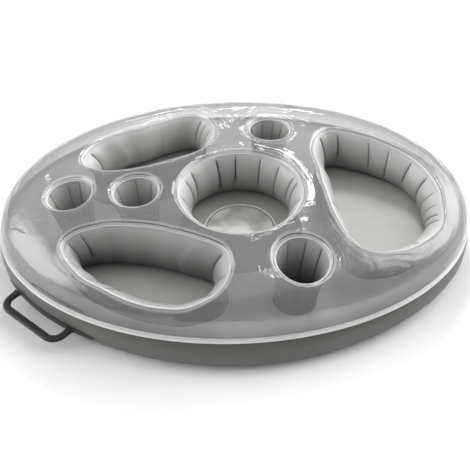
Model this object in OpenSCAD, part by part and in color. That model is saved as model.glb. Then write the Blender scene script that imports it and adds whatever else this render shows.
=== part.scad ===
// Inflatable drink float tray: a grey air base, a clear air-filled top and eight walled compartments.
// The origin is the middle of the flat underside, +X runs along the length, +Y away from the viewer, +Z up.
// Every sheet is a thin solid of its own, cut to size and welded edge to edge as on the real float.

/* [Float] */
// Length across the weld seam
float_l = 900; // [700:10:1100]
// Width across the weld seam
float_w = 646; // [520:10:780]
// Height of the grey base, from the underside to the deck
base_h = 58; // [40:1:80]
// Rise of the clear top above the deck, in the middle
dome_h = 99; // [85:1:125]
// How squarely the clear top rises: 2 is an ellipsoid, more is fuller at the seam
dome_fullness = 3; // [2.4:0.1:3.6]

/* [Sheets] */
// Thickness of the grey deck and bottom sheets
sheet_t = 0.5; // [0.3:0.1:1]
// Thickness of the clear film
film_t = 0.5; // [0.3:0.1:1]
// Thickness of the compartment walls
wall_t = 0.5; // [0.3:0.1:1]
// Width of the welded flange round the seam
seam_w = 6; // [3:1:12]
// How far the side band swells beyond the seam
band_bulge = 10; // [4:1:20]
// How far the band tucks in at its foot
band_tuck = 5; // [2:1:12]

/* [Openings] */
// Width of the clear lip that rolls over into each compartment
lip_w = 12; // [8:1:16]
// Drop of the wall weld below the crest of the lip
lip_drop = 6; // [4:1:10]
// Clearance between a wall's top edge and the lip that it is welded to
weld_gap = 0.6; // [0.4:0.1:0.9]
// How far round openings stay level where the top slopes: 0 follows the slope, 1 is level
level_share = 0.5; // [0:0.1:0.8]
// How much higher the film puffs up away from the openings than beside them
puff_h = 6; // [0:0.5:8]

/* [Ice bucket] */
// Radius of the ice bucket at its rim
ice_r = 114; // [95:1:125]
// Radius of the ring weld in the ice bucket's floor
ring_weld_r = 68; // [50:1:80]
// Width of the ring weld
ring_weld_w = 3; // [2:0.5:6]
// How far the ice bucket's wall swells inward
ice_belly = 25; // [15:1:35]
// Number of gathers round the ice bucket
ice_gathers = 15; // [11:1:18]

/* [Cups] */
// Rim radius of the three smaller cup holders
cup_r = 43; // [38:1:48]
// Rim radius of the front cup holder
front_cup_r = 47; // [42:1:52]
// How much less a cup holder's foot reaches than its rim
cup_taper = 10; // [6:0.5:13]
// How far a cup holder's wall swells inward
cup_belly = 6; // [3:0.5:9]
// How far the foot of each cup holder is welded off the middle of its rim, along X and Y
left_cup_lean = [7, -5]; // [-15:1:15]
inner_cup_lean = [5, -7]; // [-15:1:15]
rear_cup_lean = [-6, -7]; // [-15:1:15]
front_cup_lean = [-11, -15]; // [-20:1:20]
// Number of gathers round a cup holder
cup_gathers = 7; // [6:1:9]

/* [Trays] */
// How far the walls of the three trays swell inward
tray_belly = 26; // [15:1:32]
// How much narrower the trays' foot is than their rim
tray_taper = 4; // [0:1:8]
// Number of gathers round each tray
tray_gathers = 14; // [12:1:18]
// Depth of the creases between the gathers
gather_depth = 7; // [3:0.5:9]

/* [Handle] */
// Place of the handle round the float, in degrees of the seam's ellipse
handle_turn = 220; // [200:1:240]
// Height of the handle's middle above the underside
handle_z = 25; // [18:1:32]
// Length of the handle loop, outside
handle_l = 150; // [120:5:180]
// Reach of the loop from the band
handle_reach = 38; // [30:1:50]
// Width of the loop's bar
handle_bar_w = 13; // [9:1:16]
// Thickness of the loop's bar
handle_bar_t = 7; // [5:0.5:9]
// Inner radius of the loop's corners
handle_corner_r = 14; // [10:1:18]
// Length of the patch that carries the handle
patch_l = 218; // [190:5:240]
// Greatest height of the patch
patch_h = 20; // [14:1:26]
// Thickness of the patch
patch_t = 1; // [0.6:0.1:1.6]

/* [Valves] */
// Place of the base valve round the float, in degrees of the seam's ellipse
base_valve_turn = 100; // [70:1:120]
// Place of the top valve round the float, in degrees of the seam's ellipse
top_valve_turn = 71; // [60:1:120]
// How far out the top valve sits, as a share of the way from the middle to the seam
top_valve_out = 0.98; // [0.96:0.01:0.99]
// Radius of a valve's welded flange
valve_flange_r = 12; // [9:0.5:15]
// Radius of a valve's stem
valve_stem_r = 6; // [4:0.5:8]
// Height that a valve stands proud when it is pressed in
valve_h = 5; // [3:0.5:8]

/* [Mesh] */
// Spacing of the points that the clear top is built from
film_pitch = 19; // [16:1:20]
// Points round the seam and the side band
seam_points = 72; // [60:6:96]

/* [Hidden] */

half = [float_l / 2, float_w / 2];
// Size of the float that the plan of the compartments below is drawn on
plan_size = [900, 646];
plan_k = [float_l / plan_size.x, float_w / plan_size.y];
// Seat clearance of the pieces that lie on a curved sheet
seat = 0.3;
// Depth of the film's flat facets below its true curve, on the steep edge
film_sag = 0.3;
// Shares of a compartment wall's height that its rows of facets start and end at
wall_levels = [0, 0.13, 0.5, 0.87, 1];
// Facets for each gather of a wall
gather_points = 3;
// Angles in this file are in degrees, and slopes of a reach by angle need them in radians
rad = 180 / PI;

grey = [0.60, 0.60, 0.58];
dark_grey = [0.42, 0.42, 0.40];
wall_grey = [0.70, 0.70, 0.68];
clear = [0.88, 0.90, 0.90, 0.45];
black = [0.12, 0.12, 0.12];

// Each opening is its centre, its plan scale and its reach from the centre.
// A round opening has one reach, and a tray has one for each of sixteen directions, from +X round by +Y.
function spread(at) = [at.x * plan_k.x, at.y * plan_k.y];
ice = [spread([4, -59]), [1, 1], [ice_r]];
left_cup = [spread([-308, -39]), [1, 1], [cup_r]];
inner_cup = [spread([-186, -49]), [1, 1], [cup_r]];
rear_cup = [spread([77, 136]), [1, 1], [cup_r]];
front_cup = [spread([95, -227]), [1, 1], [front_cup_r]];
large_tray = [spread([262, -42]), plan_k,
              [116, 116, 122, 132, 154, 183, 150, 114, 105, 110, 135, 173, 164, 147, 136, 120]];
front_tray = [spread([-165, -212]), plan_k,
              [137, 97, 76, 70, 73, 86, 117, 152, 114, 81, 68, 65, 70, 85, 114, 141]];
rear_tray = [spread([-170, 112]), plan_k,
             [131, 141, 138, 95, 70, 62, 68, 82, 113, 137, 125, 102, 88, 83, 91, 111]];
openings = [ice, left_cup, inner_cup, rear_cup, front_cup, large_tray, front_tray, rear_tray];
round_openings = [ice, left_cup, inner_cup, rear_cup, front_cup];

// Smooth closed curve through the reaches of an opening
function reach(o, a) =
    let(n = len(o[2]),
        u = a / 360 * n + 2 * n,
        i = floor(u),
        f = u - i,
        p0 = o[2][(i - 1) % n],
        p1 = o[2][i % n],
        p2 = o[2][(i + 1) % n],
        p3 = o[2][(i + 2) % n])
    n == 1 ? o[2][0]
    : p1 + f * (p2 - p0 + f * (2 * p0 - 5 * p1 + 4 * p2 - p3 + f * (3 * (p1 - p2) + p3 - p0))) / 2;
// How much longer a step outward along the ray is than the same step square to the outline
function ray_stretch(o, a) =
    let(slope = (reach(o, a + 1) - reach(o, a - 1)) / 2 * rad / reach(o, a)) sqrt(1 + slope * slope);
function ray(a) = [cos(a), sin(a)];
// Point of an opening's outline at angle a, moved out by the given distance
function outline(o, a, out = 0) =
    let(r = reach(o, a) + out * ray_stretch(o, a))
    o[0] + [r * cos(a) * o[1].x, r * sin(a) * o[1].y];
function bearing(o, p) = atan2((p.y - o[0].y) / o[1].y, (p.x - o[0].x) / o[1].x);
// Distance of a plan point from an opening's outline, positive outside
function beyond(o, p) =
    let(a = bearing(o, p), q = [(p.x - o[0].x) / o[1].x, (p.y - o[0].y) / o[1].y])
    (norm(q) - reach(o, a)) / ray_stretch(o, a);

// Clear top: share of the way out to the seam, and height above the deck
function seam_share(p) = norm([p.x / half.x, p.y / half.y]);
function crown(p) =
    let(r = min(seam_share(p), 1)) dome_h * pow(1 - pow(r, dome_fullness), 1 / dome_fullness);
// Power of the share of the way to the seam by which lift and puff die away at the steep edge
edge_fade = 12;
// Round openings hold the film level near them, less and less over this distance
level_fade = 45;
function level_lift(o, p) =
    let(d = max(beyond(o, p), 0), w = max(1 - d / level_fade, 0))
    w * w * level_share * (crown(o[0]) - crown(p)) * (1 - pow(min(seam_share(p), 1), edge_fade));
// The air puffs the film up between the openings, which hold it down over about this distance
puff_reach = 24;
function product(v, i = 0) = i == len(v) ? 1 : v[i] * product(v, i + 1);
function puff(p) =
    puff_h * (1 - pow(min(seam_share(p), 1), edge_fade))
    * product([for (o = openings) 1 - exp(-max(beyond(o, p), 0) / puff_reach)]);
function top_z(p) = crown(p) + max([for (o = round_openings) level_lift(o, p)]) + puff(p);
function weld_z(o, a) = top_z(outline(o, a)) - lip_drop;
// The lip's quarter round: how far the film has sunk at distance d from the weld
function lip_sink(d) = let(u = min(max(d / lip_w, 0), 1)) lip_drop * (1 - sqrt(u * (2 - u)));
// Outward normal of the clear top, from the superellipsoid that it follows
function crown_normal(p) =
    let(n = dome_fullness,
        r = max(min(seam_share(p), 1), 0.01),
        k = pow(r, n - 2),
        g = [k * p.x / (half.x * half.x), k * p.y / (half.y * half.y), pow(crown(p) / dome_h, n - 1) / dome_h])
    g / norm(g);
function seam_point(a, out = 0) =
    let(n = [cos(a) / half.x, sin(a) / half.y])
    [half.x * cos(a), half.y * sin(a)] + out * n / norm(n);
function seam_normal(a) = let(n = [cos(a) / half.x, sin(a) / half.y]) n / norm(n);
function lift(p, z) = [p.x, p.y, z];

// Closed sheet from two skins of rings that are stacked upward, the inner skin first
module ring_sheet(inner, outer) {
    rows = len(inner);
    n = len(inner[0]);
    far = rows * n;
    fronts = [for (ring = inner) each ring];
    backs = [for (ring = outer) each ring];
    faces = [
        for (j = [0 : rows - 2], i = [0 : n - 1])
            let(a = j * n + i, b = j * n + (i + 1) % n, c = a + n, d = b + n)
            each [[a, d, c], [a, b, d], [far + a, far + c, far + d], [far + a, far + d, far + b]],
        for (i = [0 : n - 1])
            let(a = i, b = (i + 1) % n, c = (rows - 1) * n + a, d = (rows - 1) * n + b)
            each [[a, far + b, b], [a, far + a, far + b], [c, d, far + d], [c, far + d, far + c]]
    ];
    polyhedron(points = concat(fronts, backs), faces = faces);
}

// Grey base: two flat sheets and the band between them
function seam_ring(out, n) = [for (i = [0 : n - 1]) seam_point(360 * i / n, out)];

// The band's swell at a share s of its height, with its tucked foot
function band_out(s) = band_bulge * (1 - pow(abs(2 * s - 1), 2.6)) - band_tuck * pow(1 - s, 8);
function band_z(s) = sheet_t + s * (base_h - 2 * sheet_t);

module bottom_sheet() {
    color(dark_grey)
        linear_extrude(sheet_t)
            polygon(seam_ring(seam_w / 2 - band_tuck, seam_points));
}

module side_band() {
    levels = [0, 0.08, 0.35, 0.75, 1];
    inner = [for (s = levels) [for (p = seam_ring(band_out(s) - sheet_t, seam_points)) lift(p, band_z(s))]];
    outer = [for (s = levels) [for (p = seam_ring(band_out(s), seam_points)) lift(p, band_z(s))]];
    color(dark_grey) ring_sheet(inner, outer);
}

module deck_sheet() {
    color(grey) {
        translate([0, 0, base_h - sheet_t])
            linear_extrude(sheet_t)
                polygon(seam_ring(seam_w, seam_points));
        translate([ice[0].x, ice[0].y, base_h])
            rotate_extrude($fn = 72)
                translate([ring_weld_r - ring_weld_w / 2, 0])
                    square([ring_weld_w, sheet_t]);
    }
}

// Clear top. Its points lie on a lattice of triangles over the unrolled top, where the steep edge has
// its true breadth. Triangles that cross the weld of a compartment are cut there. Those that cross the
// foot of the steep edge are cut as well, and the film runs straight on from there to the seam.
// How much the steep edge adds to the half length and half width when unrolled, as shares of the rise
edge_breadth = [0.3, 0.35];
flat = half + edge_breadth * dome_h;
row_h = film_pitch * sqrt(3) / 2;
cols = 2 * ceil(flat.x / film_pitch) + 3;
rows = 2 * ceil(flat.y / row_h) + 3;
// Share of the way over the unrolled top at which the lattice ends above the seam
edge_share = 0.95;
no_opening = len(openings);

// Share of the way to the seam in plan, for a share t of the way over the unrolled top. The two slopes
// keep the lattice even: one in the middle, and one at the seam.
unroll_slopes = [0.92, 4.2];
function unrolled(t) =
    let(u = max(t, 0.001), k = (1 - u) / u * (unroll_slopes[0] * (1 - u) + unroll_slopes[1] * u))
    t >= 1 ? t : 1 / pow(1 + pow(k, dome_fullness), 1 / dome_fullness);
function flat_share(q) = norm([q.x / flat.x, q.y / flat.y]);
function flat_to_plan(q) =
    let(t = max(flat_share(q), 0.001), k = unrolled(t) / t)
    [q.x / flat.x * half.x * k, q.y / flat.y * half.y * k];
// Signed distance from one edge of the film: opening number i, or the seam
function edge_gap(i, q) =
    i == no_opening ? (edge_share - flat_share(q)) * flat.y : beyond(openings[i], flat_to_plan(q));
function nearest_edge(q) =
    let(t = flat_share(q),
        gaps = [for (i = [0 : no_opening]) t > 1 && i < no_opening ? flat.x : edge_gap(i, q)],
        least = min(gaps))
    [least, search(least, gaps)[0]];

lattice = [
    for (j = [0 : rows - 1], i = [0 : cols - 1])
        let(q = [(i - (cols - 1) / 2 + (j % 2) / 2 - 0.25) * film_pitch, (j - (rows - 1) / 2) * row_h])
        concat([q], nearest_edge(q))
];
function inside(k) = lattice[k][1] > 0;
// Neighbours of a lattice point: east, north-east and north-west
function neighbour(k, way) =
    let(odd = floor(k / cols) % 2)
    way == 0 ? k + 1 : way == 1 ? k + cols + odd : k + cols + odd - 1;

// Film points come as pairs: the air side, and the chamber side one thickness below.
function film_pair(p, n) = [p, p - film_t * n];
function surface_pair(p, sink = 0) =
    film_pair(lift(p, base_h + film_t + top_z(p) - sink), crown_normal(p));
function cut_edge(k, m) = lattice[inside(k) ? m : k][2];
function cut_spot(k, m) =
    let(edge = cut_edge(k, m),
        fk = edge_gap(edge, lattice[k][0]),
        fm = edge_gap(edge, lattice[m][0]),
        t = min(max(fk / (fk - fm), 0.12), 0.88))
    lattice[k][0] + t * (lattice[m][0] - lattice[k][0]);
// The film stands upright at a compartment's weld and at the seam.
function weld_column(o, a) =
    let(weld = outline(o, a), away = (outline(o, a, lip_w) - weld) / lip_w)
    [film_pair(lift(weld, base_h + film_t + weld_z(o, a)), lift(-away / norm(away), 0))];
function seam_column(q) =
    let(a = atan2(q.y / flat.y, q.x / flat.x), foot = seam_point(a))
    [surface_pair(foot * unrolled(edge_share)), film_pair(lift(foot, base_h), lift(seam_normal(a), 0))];
function cut_column(k, m) =
    let(edge = cut_edge(k, m), q = cut_spot(k, m))
    edge == no_opening ? seam_column(q) : weld_column(openings[edge], bearing(openings[edge], flat_to_plan(q)));

module clear_top() {
    count = len(lattice);
    // Points that each lattice edge adds: one at a weld, two at the seam, none where it isn't cut
    added = [
        for (k = [0 : count - 1], way = [0 : 2])
            let(m = neighbour(k, way))
            m >= count || inside(k) == inside(m) ? 0 : cut_edge(k, m) == no_opening ? 2 : 1
    ];
    node_at = [for (k = 0, s = 0; k < count; s = s + (inside(k) ? 1 : 0), k = k + 1) s];
    nodes = node_at[count - 1];
    cut_at = [for (k = 0, s = nodes; k < 3 * count; s = s + added[k], k = k + 1) s];

    pairs = concat(
        [for (p = lattice)
            if (p[1] > 0) surface_pair(flat_to_plan(p[0]), p[2] == no_opening ? 0 : lip_sink(p[1]))],
        [for (k = [0 : count - 1], way = [0 : 2])
            if (added[3 * k + way] > 0) each cut_column(k, neighbour(k, way))]
    );
    back = len(pairs);

    // Both triangles that a lattice point carries, each as its corners and the keys of its edges
    triangles = [
        for (j = [0 : rows - 2], i = [1 : cols - 2])
            let(k = j * cols + i, e = neighbour(k, 0), ne = neighbour(k, 1), nw = neighbour(k, 2))
            each [[[k, e, ne], [3 * k, 3 * e + 2, 3 * k + 1]],
                  [[k, ne, nw], [3 * k + 1, 3 * nw, 3 * k + 2]]]
    ];
    // Turned so that the corner that stands alone comes first
    function turned(t, n) = [for (part = t) [for (i = [0 : 2]) part[(i + n) % 3]]];
    function lone(t, way) = [for (i = [0 : 2]) if (inside(t[0][i]) == way) i][0];
    film = [
        for (t = triangles)
            let(n = len([for (k = t[0]) if (inside(k)) k]),
                u = n == 1 ? turned(t, lone(t, true)) : n == 2 ? turned(t, lone(t, false)) : t,
                a = node_at[u[0][0]],
                b = node_at[u[0][1]],
                c = node_at[u[0][2]],
                ab = cut_at[u[1][0]],
                ca = cut_at[u[1][2]])
            each n == 3 ? [[a, b, c]]
                : n == 1 ? [[a, ab, ca]]
                : n == 2 ? [[b, c, ca], [b, ca, ab]]
                : []
    ];
    // Cut edges of the lattice, as pairs of points with the number that each point added
    cuts = [
        for (t = triangles)
            let(n = len([for (k = t[0]) if (inside(k)) k]),
                u = n == 1 ? turned(t, lone(t, true)) : n == 2 ? turned(t, lone(t, false)) : t,
                ab = [cut_at[u[1][0]], added[u[1][0]]],
                ca = [cut_at[u[1][2]], added[u[1][2]]])
            if (n == 1 || n == 2) n == 1 ? [ab, ca] : [ca, ab]
    ];
    // Down to the seam, and then across the thickness of the sheet
    runs = [
        for (c = cuts)
            let(a = c[0][0], b = c[1][0], a2 = a + c[0][1] - 1, b2 = b + c[1][1] - 1)
            each [if (a2 > a) [b, a, a2], if (b2 > b) [b, a2, b2]]
    ];
    ends = [
        for (c = cuts)
            let(a = c[0][0] + c[0][1] - 1, b = c[1][0] + c[1][1] - 1)
            each [[b, a, back + a], [b, back + a, back + b]]
    ];
    skin = concat(film, runs);
    color(clear)
        polyhedron(
            points = concat([for (p = pairs) p[0]], [for (p = pairs) p[1]]),
            faces = concat(
                [for (f = skin) [f[2], f[1], f[0]]],
                [for (f = skin) [back + f[0], back + f[1], back + f[2]]],
                [for (f = ends) [f[2], f[1], f[0]]]
            )
        );
}

// Compartment walls. A wall swells inward between its two welds and is drawn in along its creases.
// The first power sets how high up the belly is fullest, and the second how square it is.
belly_shape = [0.9, 0.65];
function swell(s) = pow(sin(180 * pow(s, belly_shape[0])), belly_shape[1]);
// 1 on a crease and 0 between two of them, over a breadth that this power sets
crease_power = 3;
function crease(a, gathers) = pow(abs(cos(a * gathers / 2)), crease_power);

module compartment_wall(o, foot_out, belly, gathers, hold, lean = [0, 0]) {
    n = gather_points * gathers;
    // Extra distance inward of the wall at angle a and height share s
    function inward(a, s) =
        swell(s) * (belly - min(gather_depth, belly / 2) * crease(a, gathers) * hold(a));
    function wall_point(a, s, back) =
        let(z0 = base_h,
            z1 = base_h + film_t + weld_z(o, a) - weld_gap,
            out = foot_out * (1 - s) - inward(a, s) + back)
        lift(outline(o, a, out) + (1 - s) * lean, z0 + s * (z1 - z0));
    face = [for (s = wall_levels) [for (i = [0 : n - 1]) wall_point(360 * i / n, s, 0)]];
    reverse = [for (s = wall_levels) [for (i = [0 : n - 1]) wall_point(360 * i / n, s, wall_t)]];
    color(wall_grey) ring_sheet(face, reverse);
}

module ice_bucket_wall() {
    compartment_wall(ice, 3, ice_belly, ice_gathers, function(a) 1);
}

module cup_wall(o, lean) {
    compartment_wall(o, -cup_taper, cup_belly, cup_gathers, function(a) 1, lean);
}

module left_cup_wall() {
    cup_wall(left_cup, left_cup_lean);
}

module inner_cup_wall() {
    cup_wall(inner_cup, inner_cup_lean);
}

module rear_cup_wall() {
    cup_wall(rear_cup, rear_cup_lean);
}

module front_cup_wall() {
    cup_wall(front_cup, front_cup_lean);
}

// The long sides of a tray are drawn tight, so its creases gather at the ends.
module tray_wall(o, long_turn) {
    compartment_wall(o, -tray_taper, tray_belly, tray_gathers, function(a) pow(cos(a - long_turn), 2));
}

module large_tray_wall() {
    tray_wall(large_tray, 20);
}

module front_tray_wall() {
    tray_wall(front_tray, -21);
}

module rear_tray_wall() {
    tray_wall(rear_tray, 24);
}

// Handle: a moulded loop on a long patch that is welded to the lower half of the band.
// The share of the band's height that handle_z stands for
handle_s = (handle_z - sheet_t) / (base_h - 2 * sheet_t);
handle_out = band_out(handle_s);

module at_handle() {
    spot = seam_point(handle_turn, handle_out);
    n = seam_normal(handle_turn);
    translate([spot.x, spot.y, handle_z]) rotate(atan2(n.y, n.x) - 90) children();
}

module handle_patch() {
    steps = 12;
    // Angle on the seam's ellipse for a distance along it
    per_degree = norm(seam_point(handle_turn + 1) - seam_point(handle_turn));
    spread_a = patch_l / 2 / per_degree;
    function patch_pair(u, v) =
        let(a = handle_turn + u * spread_a,
            s = handle_s + v * patch_h / 2 * sqrt(max(1 - u * u, 0.01)) / (base_h - 2 * sheet_t),
            out = band_out(s) + seat)
        [lift(seam_point(a, out), band_z(s)), lift(seam_point(a, out + patch_t), band_z(s))];
    across = [-1, -0.5, 0, 0.5, 1];
    n = len(across);
    grid = [for (i = [0 : steps], v = across) patch_pair(2 * i / steps - 1, v)];
    back = len(grid);
    quads = [for (i = [0 : steps - 1], j = [0 : n - 2]) let(a = i * n + j) [a, a + n, a + n + 1, a + 1]];
    long_rim = [
        for (i = [0 : steps - 1])
            each [[i * n, (i + 1) * n], [(i + 1) * n + n - 1, i * n + n - 1]]
    ];
    short_rim = [for (j = [0 : n - 2]) each [[j + 1, j], [steps * n + j, steps * n + j + 1]]];
    halves = [for (q = quads) each [[q[0], q[1], q[2]], [q[0], q[2], q[3]]]];
    color(black)
        polyhedron(
            points = concat([for (p = grid) p[1]], [for (p = grid) p[0]]),
            faces = concat(
                [for (f = halves) [f[2], f[1], f[0]]],
                [for (f = halves) [back + f[0], back + f[1], back + f[2]]],
                [for (e = concat(long_rim, short_rim))
                    each [[e[0], e[1], back + e[1]], [e[0], back + e[1], back + e[0]]]]
            )
        );
}

// Section of the bar: a flat oval
module bar_section() {
    r = handle_bar_t / 2;
    square([handle_bar_w - handle_bar_t, handle_bar_t], center = true);
    for (side = [-1, 1])
        translate([side * (handle_bar_w / 2 - r), 0]) circle(r, $fn = 32);
}

module handle_loop() {
    mid_r = handle_corner_r + handle_bar_w / 2;
    bar_l = handle_l - handle_bar_w - 2 * mid_r;
    bar_y = handle_reach - handle_bar_w / 2;
    leg_x = handle_l / 2 - handle_bar_w / 2;
    // The band curves away from the loop, so the legs run past its nearest point and are cut to meet it
    leg_l = bar_y - mid_r + leg_x / 3;
    color(black)
        difference() {
            at_handle() {
                translate([-bar_l / 2, bar_y, 0]) rotate([90, 0, 90]) linear_extrude(bar_l) bar_section();
                for (side = [0, 1])
                    mirror([side, 0, 0]) {
                        translate([bar_l / 2, bar_y - mid_r, 0])
                            rotate_extrude(angle = 90, $fn = 64) translate([mid_r, 0]) bar_section();
                        translate([leg_x, bar_y - mid_r, 0])
                            rotate([90, 0, 0]) linear_extrude(leg_l) bar_section();
                    }
            }
            linear_extrude(base_h) polygon(seam_ring(handle_out + patch_t + 2 * seat, 4 * seam_points));
        }
}

// Valve: a soft moulding with a welded flange, pressed in so that only its stopper stands proud.
module valve() {
    color([0.80, 0.82, 0.82])
        rotate_extrude($fn = 48)
            polygon([
                [0, 0], [valve_flange_r, 0], [valve_flange_r, 0.8], [valve_stem_r + 2, 1.2],
                [valve_stem_r + 1, valve_h - 2], [valve_stem_r + 2, valve_h - 1.6],
                [valve_stem_r + 2, valve_h - 0.4], [valve_stem_r + 1.4, valve_h], [0, valve_h]
            ]);
}

module base_valve() {
    s = 0.5;
    spot = seam_point(base_valve_turn, band_out(s) + seat);
    n = seam_normal(base_valve_turn);
    translate(lift(spot, band_z(s))) rotate([0, 90, atan2(n.y, n.x)]) valve();
}

module top_valve() {
    p = [half.x * cos(top_valve_turn), half.y * sin(top_valve_turn)] * top_valve_out;
    n = crown_normal(p);
    spot = lift(p, base_h + film_t + top_z(p)) + (seat - film_sag) * n;
    translate(spot) rotate([0, acos(n.z), atan2(n.y, n.x)]) valve();
}

bottom_sheet();
side_band();
deck_sheet();
ice_bucket_wall();
left_cup_wall();
inner_cup_wall();
rear_cup_wall();
front_cup_wall();
large_tray_wall();
front_tray_wall();
rear_tray_wall();
handle_patch();
handle_loop();
base_valve();
top_valve();
clear_top();
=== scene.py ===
import math

import bpy
import numpy as np
from mathutils import Matrix, Vector
from mathutils.geometry import delaunay_2d_cdt


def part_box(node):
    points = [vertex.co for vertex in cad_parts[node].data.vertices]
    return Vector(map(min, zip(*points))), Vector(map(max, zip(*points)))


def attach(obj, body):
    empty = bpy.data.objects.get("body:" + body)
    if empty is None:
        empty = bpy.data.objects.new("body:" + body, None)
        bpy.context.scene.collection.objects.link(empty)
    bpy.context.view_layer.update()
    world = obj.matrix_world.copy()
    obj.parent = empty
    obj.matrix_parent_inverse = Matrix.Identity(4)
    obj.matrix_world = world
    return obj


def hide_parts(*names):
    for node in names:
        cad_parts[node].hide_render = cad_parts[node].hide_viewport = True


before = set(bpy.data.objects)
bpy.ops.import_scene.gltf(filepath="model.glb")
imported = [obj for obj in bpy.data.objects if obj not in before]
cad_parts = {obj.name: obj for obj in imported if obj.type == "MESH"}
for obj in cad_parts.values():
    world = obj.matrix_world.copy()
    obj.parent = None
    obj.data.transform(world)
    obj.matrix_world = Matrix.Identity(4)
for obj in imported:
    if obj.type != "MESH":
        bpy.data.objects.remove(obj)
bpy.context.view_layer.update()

# Camera: where the photograph was taken from, 1.25 m from the middle of the float and looking down
# on it from the front. All sizes in this file are in millimetres, and meshes are scaled to metres.
MM = 0.001
deck_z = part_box("clear_top")[0][2] / MM
view_tilt = math.radians(40.86)
view_turn = math.radians(3.64)
view_distance = 1250
focal_px = 630.03
principal_px = (236.22, 207.76)
frame_px = 470

right = Vector((math.cos(view_turn), -math.sin(view_turn), 0))
ahead = Vector((
    math.sin(view_turn) * math.cos(view_tilt),
    math.cos(view_turn) * math.cos(view_tilt),
    -math.sin(view_tilt),
))
spot = Vector((0, 0, deck_z)) - view_distance * ahead
camera_data = bpy.data.cameras.new("camera")
camera_data.sensor_width = 36
camera_data.lens = focal_px * camera_data.sensor_width / frame_px
camera_data.shift_x = (frame_px / 2 - principal_px[0]) / frame_px
camera_data.shift_y = (principal_px[1] - frame_px / 2) / frame_px
camera = bpy.data.objects.new("camera", camera_data)
turn = Matrix((right, right.cross(ahead), -ahead)).transposed()
camera.matrix_world = Matrix.Translation(spot * MM) @ turn.to_4x4()
bpy.context.scene.collection.objects.link(camera)
bpy.context.scene.camera = camera


# Studio: a pale seamless floor under an even sky, a white wall low down behind the float, and soft
# boxes above and behind it. None of them is part of the float.
floor_size = 9000
floor_gap = 0.4
floor_white = (0.93, 0.93, 0.93, 1)
sky_level = 0.32
wall_level = 0.5
wall_top, wall_sides = (0.38, 0.60), (0.1, 0.55)
glows = {(-0.93, 0.08, 0.36): 4.0, (0.82, 0.33, 0.47): 4.6}
glow_edge, glow_core = 0.82, 0.98
light_aim = (0, 0, 60)

# Place, width and height, and radiance of each soft box
soft_boxes = {
    "overhead_light": ((0, 0, 2200), (3000, 2400), 0.4),
    "key_light": ((440, 2060, 1830), (620, 500), 52),
    "rear_top_light": ((420, 2010, 1950), (400, 260), 16),
    "high_light": ((302, 1422, 2215), (420, 150), 10),
    "top_right_light": ((645, 403, 2550), (380, 170), 11),
    "rear_left_light": ((-1505, 2040, 1250), (120, 140), 9),
    "low_strip_light": ((60, 2750, 720), (1700, 90), 5),
    "high_strip_light": ((60, 2500, 1230), (1300, 80), 5),
}


def shader(tree, kind, operation=None, **sockets):
    """Adds one shader node. Sockets are given by name, or as in0, in1 where names repeat."""
    new = tree.nodes.new("ShaderNode" + kind)
    if operation:
        new.operation = operation
    for name, value in sockets.items():
        where = int(name[2:]) if name[:2] == "in" and name[2:].isdigit() else name.replace("_", " ")
        if isinstance(value, bpy.types.NodeSocket):
            tree.links.new(value, new.inputs[where])
        else:
            new.inputs[where].default_value = value
    return new


def ramped(tree, value, low, high, to_low=0.0, to_high=1.0):
    """A number that runs smoothly from one level to another as the given value passes two marks."""
    new = shader(tree, "MapRange", Value=value, From_Min=low, From_Max=high,
                 To_Min=to_low, To_Max=to_high)
    new.interpolation_type = "SMOOTHSTEP"
    return new.outputs["Result"]


def empty_material(name):
    """A material with only its output node."""
    material = bpy.data.materials.new(name)
    material.use_nodes = True
    material.node_tree.nodes.clear()
    return material, material.node_tree, material.node_tree.nodes.new("ShaderNodeOutputMaterial")


def floor_material():
    """Matt white floor."""
    material, tree, out = empty_material("floor")
    matt = shader(tree, "BsdfDiffuse", Color=floor_white)
    tree.links.new(matt.outputs[0], out.inputs["Surface"])
    return material


corner = floor_size / 2 * MM
floor_mesh = bpy.data.meshes.new("floor")
floor_mesh.from_pydata(
    [(x * corner, y * corner, -floor_gap * MM) for x, y in ((-1, -1), (1, -1), (1, 1), (-1, 1))],
    [], [(0, 1, 2, 3)],
)
floor_mesh.materials.append(floor_material())
floor = bpy.data.objects.new("floor", floor_mesh)
bpy.context.scene.collection.objects.link(floor)


def surround():
    """An even sky, with a white wall low down behind the float and a soft glow on either side of it
    for the film to mirror."""
    world = bpy.data.worlds.new("surround")
    bpy.context.scene.world = world
    world.use_nodes = True
    tree = world.node_tree
    tree.nodes.clear()
    way = shader(tree, "TexCoord").outputs["Generated"]
    part = shader(tree, "SeparateXYZ", Vector=way)
    low = ramped(tree, part.outputs["Z"], *wall_top, 1.0, 0.0)
    behind = ramped(tree, part.outputs["Y"], *wall_sides)
    wall = shader(tree, "Math", "MULTIPLY", in0=low, in1=behind)
    level = shader(tree, "Math", "MULTIPLY_ADD", in0=wall.outputs[0], in1=wall_level, in2=sky_level)
    for glow, brightness in glows.items():
        toward = shader(tree, "VectorMath", "DOT_PRODUCT", in0=way, in1=glow)
        lobe = ramped(tree, toward.outputs["Value"], glow_edge, glow_core, 0.0, brightness)
        level = shader(tree, "Math", "ADD", in0=level.outputs[0], in1=lobe)
    back = shader(tree, "Background", Color=(1, 1, 1, 1), Strength=level.outputs[0])
    out = tree.nodes.new("ShaderNodeOutputWorld")
    tree.links.new(back.outputs[0], out.inputs["Surface"])


surround()


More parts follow.
